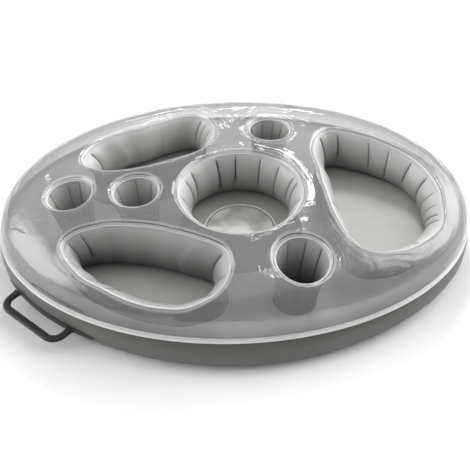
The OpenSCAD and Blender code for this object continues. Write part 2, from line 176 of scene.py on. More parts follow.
def soft_box(name, place, size, radiance):
    """A rectangular area light that faces the float. The key light isn't mirrored, because the film
    mirrors the smaller ones round it, which leave the highlights that the photograph shows."""
    light = bpy.data.lights.new(name, "AREA")
    light.shape = "RECTANGLE"
    light.size = size[0] * MM
    light.size_y = size[1] * MM
    light.energy = radiance * math.pi * light.size * light.size_y
    box = bpy.data.objects.new(name, light)
    box.location = Vector(place) * MM
    box.rotation_euler = (Vector(light_aim) - Vector(place)).to_track_quat("-Z", "Y").to_euler()
    box.visible_glossy = name != "key_light"
    bpy.context.scene.collection.objects.link(box)


for name, (place, size, radiance) in soft_boxes.items():
    soft_box(name, place, size, radiance)
bpy.context.scene.view_settings.view_transform = "Standard"


# Bottom sheet: the flat underside of the air base, cut from grey PVC sheet. Its rim is welded to
# the foot of the side band.
sheet_t = 0.5
seam_w = 6
foot_out = -2
front_swell_out = 10
front_swell_turn = math.radians(268)
front_swell_spread = 0.45
middle_share = 0.0001
half = Vector(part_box("deck_sheet")[1][:2]) / MM - Vector((seam_w, seam_w))
round_columns = 360


def front_swell(turn):
    """How much further out the front of the base swells, as the photograph shows."""
    return front_swell_out * np.exp(-(((turn - front_swell_turn) / front_swell_spread) ** 2))


def seam_point(turn, out=0.0):
    """Points of the seam's ellipse at the given turns, in radians, moved out by a distance."""
    turn, out = np.broadcast_arrays(np.asarray(turn, float), np.asarray(out, float))
    normal = np.stack([np.cos(turn) / half.x, np.sin(turn) / half.y], -1)
    normal /= np.linalg.norm(normal, axis=-1, keepdims=True)
    ring = np.stack([half.x * np.cos(turn), half.y * np.sin(turn)], -1)
    return ring + out[..., None] * normal


def grid_faces(rows, columns, start=0, wrap=True, flip=False):
    """Quads of a grid of points that is kept row by row."""
    steps = columns if wrap else columns - 1
    j, i = np.meshgrid(np.arange(rows - 1), np.arange(steps), indexing="ij")
    k = (i + 1) % columns
    here, above = j * columns, (j + 1) * columns
    quads = np.stack([here + i, here + k, above + k, above + i], -1).reshape(-1, 4) + start
    return (quads[:, ::-1] if flip else quads).tolist()


def rim_faces(front, back):
    """Quads between two matching closed loops of point numbers."""
    return np.stack([front, np.roll(front, -1), np.roll(back, -1), back], -1).tolist()


def as_piece(name, points, faces, material, nodes, sharp=50):
    """Makes a mesh piece from points in millimetres. It stands for the given nodes of the frame."""
    mesh = bpy.data.meshes.new(name)
    mesh.from_pydata((points * MM).tolist(), [], faces)
    mesh.update()
    mesh.shade_smooth()
    mesh.set_sharp_from_angle(angle=math.radians(sharp))
    mesh.materials.append(material)
    piece = bpy.data.objects.new(name, mesh)
    bpy.context.scene.collection.objects.link(piece)
    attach(piece, "root")
    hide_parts(*nodes)
    return piece


def sheet_between(front, back):
    """Points and faces of a closed sheet round the float from two grids of rings."""
    rows, columns = front.shape[:2]
    far = rows * columns
    ring = np.arange(columns)
    last = (rows - 1) * columns
    faces = grid_faces(rows, columns) + grid_faces(rows, columns, far, flip=True)
    faces += rim_faces(far + ring, ring)
    faces += rim_faces(last + ring, far + last + ring)
    return np.concatenate([front.reshape(-1, 3), back.reshape(-1, 3)]), faces


def flat_sheet(rings, thickness):
    """Points and faces of a closed flat sheet from rings that grow from a point in the middle."""
    lower = rings.copy()
    lower[..., 2] -= thickness
    return sheet_between(rings, lower)


def unevenness_group():
    """Slow waves and fine grain of PVC sheet, as one height and one tone."""
    group = bpy.data.node_groups.new("sheet unevenness", "ShaderNodeTree")
    for name, kind, value in (
        ("Wave Scale", "NodeSocketFloat", 14.0),
        ("Grain Scale", "NodeSocketFloat", 900.0),
        ("Grain", "NodeSocketFloat", 0.1),
    ):
        group.interface.new_socket(name, in_out="INPUT", socket_type=kind).default_value = value
    group.interface.new_socket("Height", in_out="OUTPUT", socket_type="NodeSocketFloat")
    group.interface.new_socket("Tone", in_out="OUTPUT", socket_type="NodeSocketFloat")
    given = group.nodes.new("NodeGroupInput")
    place = shader(group, "TexCoord").outputs["Object"]
    wave = shader(group, "TexNoise", Vector=place, Scale=given.outputs["Wave Scale"],
                  Detail=3.0, Distortion=0.6)
    grain = shader(group, "TexNoise", Vector=place, Scale=given.outputs["Grain Scale"], Detail=2.0)
    fine = shader(group, "Math", "MULTIPLY", in0=grain.outputs["Fac"], in1=given.outputs["Grain"])
    both = shader(group, "Math", "ADD", in0=wave.outputs["Fac"], in1=fine.outputs[0])
    out = group.nodes.new("NodeGroupOutput")
    group.links.new(both.outputs[0], out.inputs["Height"])
    group.links.new(wave.outputs["Fac"], out.inputs["Tone"])
    return group


unevenness = unevenness_group()


def place_group(tree, group, **sockets):
    """Places a node group in a material with its own values."""
    new = tree.nodes.new("ShaderNodeGroup")
    new.node_tree = group
    for name, value in sockets.items():
        new.inputs[name.replace("_", " ")].default_value = value
    return new


def mixed(tree, factor, first, second):
    """A colour between two. The first is a tone or the socket of a colour, the second a tone."""
    mix = tree.nodes.new("ShaderNodeMix")
    mix.data_type = "RGBA"
    tree.links.new(factor, mix.inputs[0])
    if isinstance(first, bpy.types.NodeSocket):
        tree.links.new(first, mix.inputs[6])
    else:
        mix.inputs[6].default_value = (*first, 1)
    mix.inputs[7].default_value = (*second, 1)
    return mix.outputs[2]


def recoloured(material, amount, tone):
    """Mixes the colour of a grey PVC material towards a tone."""
    tree = material.node_tree
    base = tree.nodes["skin"].inputs["Base Color"]
    tree.links.new(mixed(tree, amount, base.links[0].from_socket, tone), base)


def grey_pvc(name, dark, light, roughness, wave=14.0, bump=1.6):
    """Satin grey PVC sheet whose tone and gloss vary slowly. The bump is its waves' height."""
    material, tree, out = empty_material(name)
    uneven = place_group(tree, unevenness, Wave_Scale=wave, Grain=0.05)
    rough = ramped(tree, uneven.outputs["Tone"], 0.3, 0.7, roughness - 0.05, roughness + 0.05)
    relief = shader(tree, "Bump", Height=uneven.outputs["Height"], Strength=1.0, Distance=bump * MM)
    skin = shader(
        tree, "BsdfPrincipled",
        Base_Color=mixed(tree, uneven.outputs["Tone"], dark, light),
        Roughness=rough,
        Normal=relief.outputs["Normal"],
    )
    skin.name = "skin"
    tree.links.new(skin.outputs[0], out.inputs["Surface"])
    return material


band_pvc = grey_pvc("grey band sheet", (0.10, 0.10, 0.094), (0.13, 0.13, 0.122), roughness=0.42)
turns = np.arange(round_columns) * 2 * math.pi / round_columns


def ellipse_rings(shares, edge_out, z):
    """Rings of points between the middle and an offset of the seam, which may vary by turn."""
    edge = seam_point(turns, edge_out)
    rings = [np.column_stack([edge * share, np.full(round_columns, z)]) for share in shares]
    return np.array(rings)


foot_edge = foot_out + front_swell(turns)
bottom_rings = ellipse_rings(np.linspace(middle_share, 1, 14), foot_edge, sheet_t)
points, faces = flat_sheet(bottom_rings, sheet_t)
as_piece("bottom_skin", points, faces, band_pvc, ["bottom_sheet"])


# Side band: the strip of grey PVC round the base. The air swells it between its two welds, where
# it puckers slightly.
band_bulge, band_fullness = 10, 2.6
band_tuck = 5
pucker_depth, pucker_fade, pucker_waves = 1.4, 9, 97
slack_depth, slack_waves = 0.6, 23


def band_out(s, turn):
    """The band's swell at a share s of its height, with its tucked foot."""
    swell = band_bulge * (1 - np.abs(2 * s - 1) ** band_fullness)
    return swell - band_tuck * (1 - s) ** 8 + front_swell(turn) * (1 - s**3)


def band_z(s):
    """Height of the band at a share s of the way from its foot to its head."""
    return sheet_t + s * (deck_z - 2 * sheet_t)


def waver(turn, waves, seed):
    """Uneven ripples round the float: several sines whose counts share no factor."""
    total = np.zeros_like(turn)
    for i, share in enumerate((1.0, 0.618, 1.37, 0.271)):
        total += np.sin(round(waves * share) * turn + seed + 2.4 * i) / (1 + i)
    return total / 2


band_s = 0.5 - 0.5 * np.cos(np.linspace(0, math.pi, 26))
s, a = np.meshgrid(band_s, turns, indexing="ij")
to_weld = np.minimum(s, 1 - s) * deck_z
pucker = pucker_depth * np.exp(-to_weld / pucker_fade) * (1 - np.exp(-to_weld / 2))
slack = slack_depth * waver(a, slack_waves, 0.4) * np.sin(math.pi * s)
out = band_out(s, a) + pucker * waver(a, pucker_waves, 1.0) + slack
band_face = np.concatenate([seam_point(a, out), band_z(s)[..., None]], -1)
band_back = np.concatenate([seam_point(a, out - sheet_t), band_z(s)[..., None]], -1)
points, faces = sheet_between(band_face, band_back)
as_piece("band_skin", points, faces, band_pvc, ["side_band"])


# Deck sheet: grey PVC over the base, and the floor of every compartment. A ring weld in the ice
# bucket's floor holds it flat, and its rim is the flange of the outer seam.
ring_weld_r = 68
ring_columns = 160
disc_fade = 6
crumple_depth = 6
disc_tone = (0.68, 0.68, 0.66)

# Profiles of the ring weld, from its middle line, and of the flange, from the seam, each as
# distances outward and heights above the deck
ring_profile = ((-1.6, -0.2), (-1.5, 0.2), (-0.9, 0.5), (0.9, 0.5), (1.5, 0.2), (1.6, -0.2))
flange_profile = (
    (-1, 0), (0, 0.5), (1.5, 1.4), (seam_w - 2.5, 1.7), (seam_w - 1, 1.3),
    (seam_w - 0.2, 0.4), (seam_w, -0.6), (seam_w - 0.5, -1.6), (seam_w - 1.5, -2.2),
)
deck_shares = np.concatenate([[middle_share], np.linspace(0.02, 0.985, 42)])
low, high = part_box("ice_bucket_wall")
ice_at = np.array([low[0] + high[0], low[1] + high[1]]) / 2 / MM
# The seam's flange is coloured a pale cream grey, a painted highlight along the seam; the ring weld
# uses the same material.
weld_painted_highlight_pvc = grey_pvc("welded seam edge with painted highlight", (0.74, 0.74, 0.70), (0.88, 0.88, 0.84),
                    roughness=0.3, wave=30.0, bump=1.0)


def deck_material():
    """Grey sheet that is crumpled inside the ring weld, where it is pulled tight and slack."""
    material = grey_pvc("grey deck sheet", (0.36, 0.36, 0.345), (0.47, 0.47, 0.455),
                        roughness=0.36, wave=9.0, bump=4.0)
    tree = material.node_tree
    skin = tree.nodes["skin"]
    place = shader(tree, "TexCoord").outputs["Object"]
    middle = (float(ice_at[0]) * MM, float(ice_at[1]) * MM, deck_z * MM)
    away = shader(tree, "VectorMath", "DISTANCE", in0=place, in1=middle)
    disc = ramped(tree, away.outputs["Value"], (ring_weld_r - disc_fade) * MM, ring_weld_r * MM,
                  1.0, 0.0)
    crumple = shader(tree, "TexNoise", Vector=place, Scale=26.0, Detail=1.5, Distortion=0.5)
    height = shader(tree, "Math", "MULTIPLY", in0=crumple.outputs["Fac"], in1=disc)
    folds = shader(tree, "Bump", Height=height.outputs[0], Strength=1.0,
                   Distance=crumple_depth * MM,
                   Normal=skin.inputs["Normal"].links[0].from_socket)
    tree.links.new(folds.outputs["Normal"], skin.inputs["Normal"])
    patches = ramped(tree, crumple.outputs["Fac"], 0.28, 0.70)
    shown = shader(tree, "Math", "MULTIPLY", in0=patches, in1=disc)
    recoloured(material, shown.outputs[0], disc_tone)
    return material


deck_pvc = deck_material()
deck_rings = ellipse_rings(deck_shares, 0, deck_z)
flange = [np.column_stack([seam_point(turns, out), np.full(round_columns, deck_z + up)])
          for out, up in flange_profile]
deck_rings = np.concatenate([deck_rings, np.array(flange)])
points, faces = flat_sheet(deck_rings, sheet_t)
deck = as_piece("deck_skin", points, faces, deck_pvc, ["deck_sheet"])
# The flange's faces take the pale weld material with its painted highlight.
deck.data.materials.append(weld_painted_highlight_pvc)
for face in deck.data.polygons:
    x, y = face.center[0] / MM / half.x, face.center[1] / MM / half.y
    if math.hypot(x, y) > 1.0:
        face.material_index = 1

weld_turns = np.arange(ring_columns) * 2 * math.pi / ring_columns
weld_rings = np.array([
    np.column_stack([
        ice_at[0] + (ring_weld_r + out) * np.cos(weld_turns),
        ice_at[1] + (ring_weld_r + out) * np.sin(weld_turns),
        np.full(ring_columns, deck_z + up),
    ])
    for out, up in ring_profile
])
first = np.arange(ring_columns)
faces = grid_faces(len(ring_profile), ring_columns, flip=True)
faces += rim_faces(first, first + (len(ring_profile) - 1) * ring_columns)
as_piece("ring_weld", weld_rings.reshape(-1, 3), faces, weld_painted_highlight_pvc, ["deck_sheet"])


# Compartment walls: eight strips of light grey PVC, each welded to the deck at its foot and to the
# clear top at its head. The air round them swells them inward, and they gather into creases.
wall_t = 0.5
film_t = 0.5
weld_gap = 0.6
lip_w = 12
lip_drop = 6
dome_h = 99
dome_fullness = 3
level_share = 0.5
level_fade = 45
edge_fade = 12
puff_h = 6
puff_reach = 24
ice_r, cup_r, front_cup_r = 114, 43, 47
wall_rows = 28
column_step = 4.0
crease_drift = 3.5
# Creases: how far each pulls the wall, its groove's width, and the width of the painted shade along
# it
crease_pull, crease_w, crease_shade_w = 12, 1.8, 1.2
# Painted shade on each wall's back, which faces the closed air chamber, and how much more of it
# there is towards the foot
back_painted_shade, back_foot_painted_shade = 0.82, 0.4
# The near-black that painted shade mixes into the walls' grey
painted_shade_black = (0.01, 0.01, 0.01)

# Middle of the rim of each compartment, its reach from there, evenly round from +X by +Y, and how
# far its foot is welded off the middle of its rim
compartments = {
    "ice_bucket_wall": ((4, -59), (ice_r,), (0, 0)),
    "left_cup_wall": ((-308, -39), (cup_r,), (7, -5)),
    "inner_cup_wall": ((-186, -49), (cup_r,), (5, -7)),
    "rear_cup_wall": ((77, 136), (cup_r,), (-6, -7)),
    "front_cup_wall": ((95, -227), (front_cup_r,), (-11, -15)),
    "large_tray_wall": ((262, -42), (116, 116, 122, 132, 154, 183, 150, 114,
                                     105, 110, 135, 173, 164, 147, 136, 120), (0, 0)),
    "front_tray_wall": ((-165, -212), (137, 97, 76, 70, 73, 86, 117, 152,
                                       114, 81, 68, 65, 70, 85, 114, 141), (0, 0)),
    "rear_tray_wall": ((-170, 112), (131, 141, 138, 95, 70, 62, 68, 82,
                                     113, 137, 125, 102, 88, 83, 91, 111), (0, 0)),
}
openings = {name: (np.array(at, float), np.array(reaches, float))
            for name, (at, reaches, lean) in compartments.items()}
round_openings = [opening for opening in openings.values() if len(opening[1]) == 1]


def reach(opening, turn):
    """Smooth closed curve through the reaches of an opening."""
    reaches = opening[1]
    n = len(reaches)
    u = turn / (2 * math.pi) * n + 2 * n
    i = np.floor(u).astype(int)
    f = u - i
    p0, p1, p2, p3 = (reaches[(i + k) % n] for k in (-1, 0, 1, 2))
    bend = 2 * p0 - 5 * p1 + 4 * p2 - p3 + f * (3 * (p1 - p2) + p3 - p0)
    return p1 + f * (p2 - p0 + f * bend) / 2


def ray_stretch(opening, turn):
    """How much longer a step outward along the ray is than the same step square to the outline."""
    step = math.radians(1)
    rise = (reach(opening, turn + step) - reach(opening, turn - step)) / (2 * step)
    return np.sqrt(1 + (rise / reach(opening, turn)) ** 2)


def outline(opening, turn, out=0.0):
    """Points of an opening's outline, moved out by a distance."""
    r = reach(opening, turn) + out * ray_stretch(opening, turn)
    return opening[0] + np.stack([r * np.cos(turn), r * np.sin(turn)], -1)


def beyond(opening, p):
    """Distance of plan points from an opening's outline, positive outside."""
    d = p - opening[0]
    turn = np.arctan2(d[..., 1], d[..., 0])
    return (np.hypot(d[..., 0], d[..., 1]) - reach(opening, turn)) / ray_stretch(opening, turn)


def clearances(p):
    """Distances of plan points from all the outlines, and 0 inside one."""
    return np.array([np.maximum(beyond(opening, p), 0) for opening in openings.values()])


def seam_share(p):
    """How far plan points are on the way from the middle to the seam, from 0 to 1."""
    return np.minimum(np.hypot(p[..., 0] / half.x, p[..., 1] / half.y), 1)


def crown(p):
    """Height of the inflated top above the deck, without its lips."""
    return dome_h * (1 - seam_share(p) ** dome_fullness) ** (1 / dome_fullness)


def top_z(p):
    """Height of the top. Round openings hold it level, and it puffs up away from every opening."""
    inner = 1 - seam_share(p) ** edge_fade
    puff = puff_h * inner * np.prod(1 - np.exp(-clearances(p) / puff_reach), axis=0)
    lift = np.zeros(p.shape[:-1]) - dome_h
    for opening in round_openings:
        w = np.maximum(1 - np.maximum(beyond(opening, p), 0) / level_fade, 0)
        lift = np.maximum(lift, w * w * level_share * (crown(opening[0]) - crown(p)) * inner)
    return crown(p) + lift + puff


def weld_z(opening, turn):
    """Height above the deck of the weld between the top and a wall."""
    return top_z(outline(opening, turn)) - lip_drop


def stored_number(tree, name):
    """A number that is stored on the points of the mesh."""
    stored = tree.nodes.new("ShaderNodeAttribute")
    stored.attribute_name = name
    return stored.outputs["Fac"]


def store_number(piece, name, values):
    """Stores one number for each point of a piece."""
    stored = piece.data.attributes.new(name, "FLOAT", "POINT")
    stored.data.foreach_set("value", values.astype(np.float32))


def darken_by(material, stored_name, share):
    """Paints shade into a grey PVC material's colour where a number that is stored on its mesh is
    high.
    """
    stored = stored_number(material.node_tree, stored_name)
    amount = shader(material.node_tree, "Math", "MULTIPLY", in0=stored, in1=share)
    recoloured(material, amount.outputs[0], painted_shade_black)


wall_pvc = grey_pvc("light grey wall sheet", (0.40, 0.40, 0.392), (0.49, 0.49, 0.48),
                    roughness=0.36, wave=12.0, bump=1.2)
# Painted shade: the walls are darkened by a stored amount at their head, towards their foot and on
# their back.
darken_by(wall_pvc, "painted_shade", 1.0)
# Painted shade along each crease, where shadow falls in the groove
darken_by(wall_pvc, "crease_shade", 0.8)

# Turns of each wall's creases in degrees, from +X round by +Y. The far side follows the photograph.
crease_turns = {
    "ice_bucket_wall": [10, 20, 42, 64, 92, 111, 146, 158, 184, 206, 230, 252, 276, 300, 324, 346],
    "left_cup_wall": [30, 74, 106, 162, 205, 262, 318],
    "inner_cup_wall": [10, 52, 95, 152, 200, 255, 312],
    "rear_cup_wall": [5, 43, 71, 104, 150, 215, 290],
    "front_cup_wall": [35, 74, 115, 160, 212, 262, 318],
    "large_tray_wall": [15, 41, 65, 83, 106, 118, 210, 238, 262, 288, 320, 328, 338, 355],
    "front_tray_wall": [1, 148, 156, 170, 188, 206, 330, 345],
    "rear_tray_wall": [2, 19, 30, 37, 189, 205, 345],
}


def wall_columns(opening, creases):
    """Turns of a wall's columns: evenly spaced, and much closer together across each crease."""
    even = np.arange(0, 2 * math.pi, column_step / opening[1].mean())
    across = np.array([-4, -2.4, -1.4, -0.7, 0, 0.7, 1.4, 2.4, 4])
    near = (creases[:, None] + across / reach(opening, creases)[:, None]).ravel() % (2 * math.pi)
    columns = np.sort(np.concatenate([even, near]))
    return columns[np.diff(columns, append=columns[0] + 2 * math.pi) > 0.1 / opening[1].mean()]


def smooth(value, low, high):
    """0 below the low mark and 1 above the high one, with an even run between them."""
    t = np.clip((value - low) / (high - low), 0, 1)
    return t * t * (3 - 2 * t)


def wall_piece(name, flare, belly, crease_depth, crease_foot, head_painted_shade, foot_painted_shade):
    """One wall: a strip that bellies inward, with sharp creases that run down from near its head.
    Its colour holds painted shade: darker along its creases, at its head and towards its foot,
    where less light reaches it, and on its back, which faces the closed air chamber."""
    opening = openings[name]
    lean = np.array(compartments[name][2])
    creases = np.radians(crease_turns[name])
    drift = np.radians(crease_drift) * np.sin(3.7 * np.arange(len(creases)) + 2)
    level = 0.5 - 0.5 * np.cos(np.linspace(0, math.pi, wall_rows))
    s, u = np.meshgrid(level, wall_columns(opening, creases), indexing="ij")
    turn = u + (s - 0.6) * np.interp(u, creases, drift, period=2 * math.pi)
    swell = np.sin(math.pi * s**0.9).clip(0) ** 0.65
    broad, sharp, crease_shade = np.zeros((3, *u.shape))

    # Sines with no common period vary the creases' strength and length.
    for i, at in enumerate(creases):
        gap = np.abs((u - at + math.pi) % (2 * math.pi) - math.pi) * reach(opening, u)
        strength = 0.75 + 0.25 * math.sin(5.1 * i + 1)
        foot = crease_foot * (1 + 0.5 * math.sin(2.3 * i))
        run = smooth(s, foot, foot + 0.3) * (1 - smooth(s, 0.88, 0.985))
        broad += strength * np.exp(-((gap / crease_pull) ** 2))
        sharp = np.maximum(sharp, strength * run * np.exp(-gap / crease_w))
        # The painted shade along the crease is narrower than its groove.
        crease_shade = np.maximum(crease_shade, strength * run * np.exp(-((gap / crease_shade_w) ** 2)))

    drawn = crease_depth * (0.4 * np.minimum(broad, 1.1) * swell + 0.6 * sharp)
    out = flare * (1 - s) - belly * swell + drawn
    head = deck_z + film_t + weld_z(opening, turn) - weld_gap
    z = deck_z + s * (head - deck_z)
    step = (1 - s)[..., None] * lean
    face = np.concatenate([outline(opening, turn, out) + step, z[..., None]], -1)
    back = np.concatenate([outline(opening, turn, out + wall_t) + step, z[..., None]], -1)
    points, faces = sheet_between(back, face)
    piece = as_piece(name + "_skin", points, faces, wall_pvc, [name])
    # Painted shade: the back face is darkened, more so towards the foot, and the inside face from
    # head to foot.
    behind = back_painted_shade + back_foot_painted_shade * (1 - s)
    inside = head_painted_shade + (foot_painted_shade - head_painted_shade) * (1 - s)
    # Stored for both faces: the painted shade along the creases, and the painted shade by height on
    # each face
    store_number(piece, "crease_shade", np.tile(crease_shade.ravel(), 2))
    store_number(piece, "painted_shade", np.concatenate([behind.ravel(), inside.ravel()]))


# How far the foot of each kind of wall flares out, how far the wall bellies in, how deep its
# creases are, and the share of its height at which they end above the deck
wall_forms = {"ice": (3, 25, 9, 0.2), "cup": (-10, 6, 4.5, 0.04), "tray": (-4, 26, 9, 0.2)}

# How much painted shade darkens each wall at its head and at its foot
wall_painted_shade = {
    "ice_bucket_wall": (0.0, 0.72),
    "left_cup_wall": (0.0, 0.4),
    "inner_cup_wall": (0.0, 0.6),
    "rear_cup_wall": (0.0, 0.8),
    "front_cup_wall": (0.05, 1.0),
    "large_tray_wall": (0.0, 0.68),
    "front_tray_wall": (0.24, 1.0),
    "rear_tray_wall": (0.0, 0.45),
}
for name, shade in wall_painted_shade.items():
    form = next(wall_forms[kind] for kind in wall_forms if kind in name)
    wall_piece(name, *form, *shade)


# Clear top: one sheet of clear PVC film with eight cut-outs. The air crowns it, and it rolls over
# into each compartment down to its weld. Its rim is welded to the deck's flange.
collar, collar_rows = 9.5, 11
loop_step = 3.0
film_step = 5.0
edge_share = 0.93
edge_rows = 14
unroll_middle, unroll_edge = 0.92, 4.2
flat = np.array([half.x + 0.3 * dome_h, half.y + 0.35 * dome_h])
half_size = np.array(half)

# The flap under each lip, as a distance inward and a drop from its weld, and the film's own flange,
# as a distance outward from the seam and a height above the deck
flap_profile = ((2.6, 0.8), (2.0, 0.45), (1.2, 0.1), (0.4, -0.05))
rim_profile = ((0.6, 2.0), (2.0, 2.2), (seam_w - 2.3, 2.3), (seam_w - 0.9, 1.9))

# Ripples along the lips and along the seam: their step, where they start and where they have faded
# out, and their height
lip_ripples = (13, 4, 60, 0.24)
seam_ripples = (15, 10, 75, 0.28)

# The long crease at the film's left end: its middle, the ways along it and across it, its width and
# depth, and how far from its middle it starts to fade and has faded out
long_crease_at = (-389, -107, 110)
long_crease_along, long_crease_across = (0.64, -0.55, 0.54), (0.65, 0.76, 0.0)
long_crease_w, long_crease_depth = 3, 1.6
long_crease_fade = (10, 26)

# Height of the film's slow waves, its gloss, how much it mirrors, and what it lets through
film_wave = 3.0
film_gloss = 0.05
mirror_head_on, mirror_aslant = 0.055, 0.9
clear_tone, slanted_tone = (0.95, 0.952, 0.95), (0.30, 0.305, 0.30)
haze_tone = (0.85, 0.85, 0.85, 1)

# Stripes beside the weld of each lip: the two distances between which each one begins, the two
# between which it ends, and its strength. The melted film at the weld fades between two strengths,
# and so does the outer seam between two heights above the deck.
# The first stripe is painted shade of the groove beside each weld.
groove_painted_shade = ((1.6, 2.6), (3.0, 4.2), 0.3)
rolled_haze = ((2.4, 4.6), (5.5, 9.4), 0.26)
melted_haze = (1.2, 2.4, 0.45, 0.10)
seam_haze, seam_haze_top = 0.9, (4, 6)


def unrolled(t):
    """Share of the way to the seam in plan, for a share t of the way over the unrolled top."""
    u = np.maximum(t, 0.001)
    k = (1 - u) / u * (unroll_middle * (1 - u) + unroll_edge * u)
    return 1 / (1 + np.maximum(k, 0) ** dome_fullness) ** (1 / dome_fullness)


share_table = np.linspace(0, 1, 2001)
plan_table = unrolled(share_table)


def flat_to_plan(q):
    """Plan points of points on the film laid flat."""
    t = np.maximum(np.hypot(q[..., 0] / flat[0], q[..., 1] / flat[1]), 0.001)
    return q / flat * half_size * (unrolled(t) / t)[..., None]


def plan_to_flat(p):
    """Points on the film laid flat of plan points."""
    r = np.maximum(np.hypot(p[..., 0] / half.x, p[..., 1] / half.y), 1e-6)
    return p / half_size * flat * (np.interp(r, plan_table, share_table) / r)[..., None]


def lip_sink(d):
    """How far the film has rolled down at a distance from an opening's outline."""
    u = np.clip(d / lip_w, 0, 1)
    return lip_drop * (1 - np.sqrt(u * (2 - u)))


def film_point(p, sink):
    """Points of the film's outer skin over plan points."""
    return np.concatenate([p, (deck_z + film_t + top_z(p) - sink)[..., None]], -1)


loops, collars = [], []
for name, opening in openings.items():
    girth = 2 * math.pi * opening[1].mean() * 1.05
    turn = np.arange(int(girth / loop_step)) * 2 * math.pi / int(girth / loop_step)
    full = math.acos(1 - collar / lip_w)
    rows = [film_point(outline(opening, turn, lip_w * (1 - math.cos(t))),
                       lip_drop * (1 - math.sin(t))) for t in np.linspace(0, full, collar_rows)]
    weld = rows[0]
    flap = [np.column_stack([outline(opening, turn, -inset), weld[:, 2] - drop])
            for inset, drop in flap_profile]
    collars.append(np.array(flap + rows))
    loops.append(outline(opening, turn, collar))

edge_ring = flat * np.column_stack([np.cos(turns), np.sin(turns)])

# A lattice of even triangles fills the film between its collars and its edge.
row_h = film_step * math.sqrt(3) / 2
cols, rows = int(flat[0] / film_step) + 2, int(flat[1] / row_h) + 2
j, i = np.meshgrid(np.arange(-rows, rows + 1), np.arange(-cols, cols + 1), indexing="ij")
lattice = np.stack([(i + (j % 2) / 2) * film_step, j * row_h], -1).reshape(-1, 2)
t = np.hypot(lattice[:, 0] / flat[0], lattice[:, 1] / flat[1])
lattice = lattice[t < edge_share - 0.5 * film_step / flat[1]]
plan = flat_to_plan(lattice)
clear_of = np.min([beyond(o, plan) for o in openings.values()], axis=0)
lattice = lattice[clear_of > collar + 0.55 * film_step]

spots = [plan_to_flat(loop) for loop in loops] + [edge_ring * edge_share, lattice]
starts = np.cumsum([0] + [len(s) for s in spots])
edges = []
for k in range(len(spots) - 1):
    n = len(spots[k])
    edges += [(int(starts[k] + m), int(starts[k] + (m + 1) % n)) for m in range(n)]
core = np.concatenate(spots)
found = delaunay_2d_cdt([Vector(q) for q in core.tolist()], edges, [], 0, 1e-6)
triangles = np.array([f for f in found[2] if len(f) == 3])
core = np.array([tuple(v) for v in found[0]])


def within(polygon, p):
    """True for each point that lies inside a polygon."""
    a, b = polygon, np.roll(polygon, -1, 0)
    inside = np.zeros(len(p), bool)
    for (ax, ay), (bx, by) in zip(a, b):
        if ay != by:
            crosses = (ay > p[:, 1]) != (by > p[:, 1])
            inside ^= crosses & (p[:, 0] < (bx - ax) * (p[:, 1] - ay) / (by - ay) + ax)
    return inside


middles = core[triangles].mean(1)
keep = within(spots[-2], middles)
for loop in spots[:-2]:
    keep &= ~within(loop, middles)
triangles = triangles[keep]

core_plan = flat_to_plan(core)
core_gap = np.min([beyond(o, core_plan) for o in openings.values()], axis=0)
skin = [film_point(core_plan, lip_sink(core_gap))]
skin_faces = triangles.tolist()
count = len(core)
loop_rims = []
for k, grid in enumerate(collars):
    rows, columns = grid.shape[:2]
    numbers = np.arange((rows - 1) * columns).reshape(rows - 1, columns) + count
    numbers = np.concatenate([numbers, (starts[k] + np.arange(columns))[None]])
    skin.append(grid[:-1].reshape(-1, 3))
    count += (rows - 1) * columns
    for a, b in zip(numbers[:-1], numbers[1:]):
        skin_faces += rim_faces(a, b)
    loop_rims.append(numbers[0])

edge_t = np.linspace(edge_share, 1, edge_rows)[1:]
edge_grid = [film_point(flat_to_plan(edge_ring * t), np.zeros(round_columns)) for t in edge_t]
for out, up in rim_profile:
    edge_grid.append(np.column_stack([seam_point(turns, out), np.full(round_columns, deck_z + up)]))
edge_grid = np.array(edge_grid)
numbers = np.arange(len(edge_grid) * round_columns).reshape(-1, round_columns) + count
numbers = np.concatenate([(starts[len(loops)] + np.arange(round_columns))[None], numbers])
skin.append(edge_grid.reshape(-1, 3))
for a, b in zip(numbers[:-1], numbers[1:]):
    skin_faces += rim_faces(a, b)
outer = np.concatenate(skin)


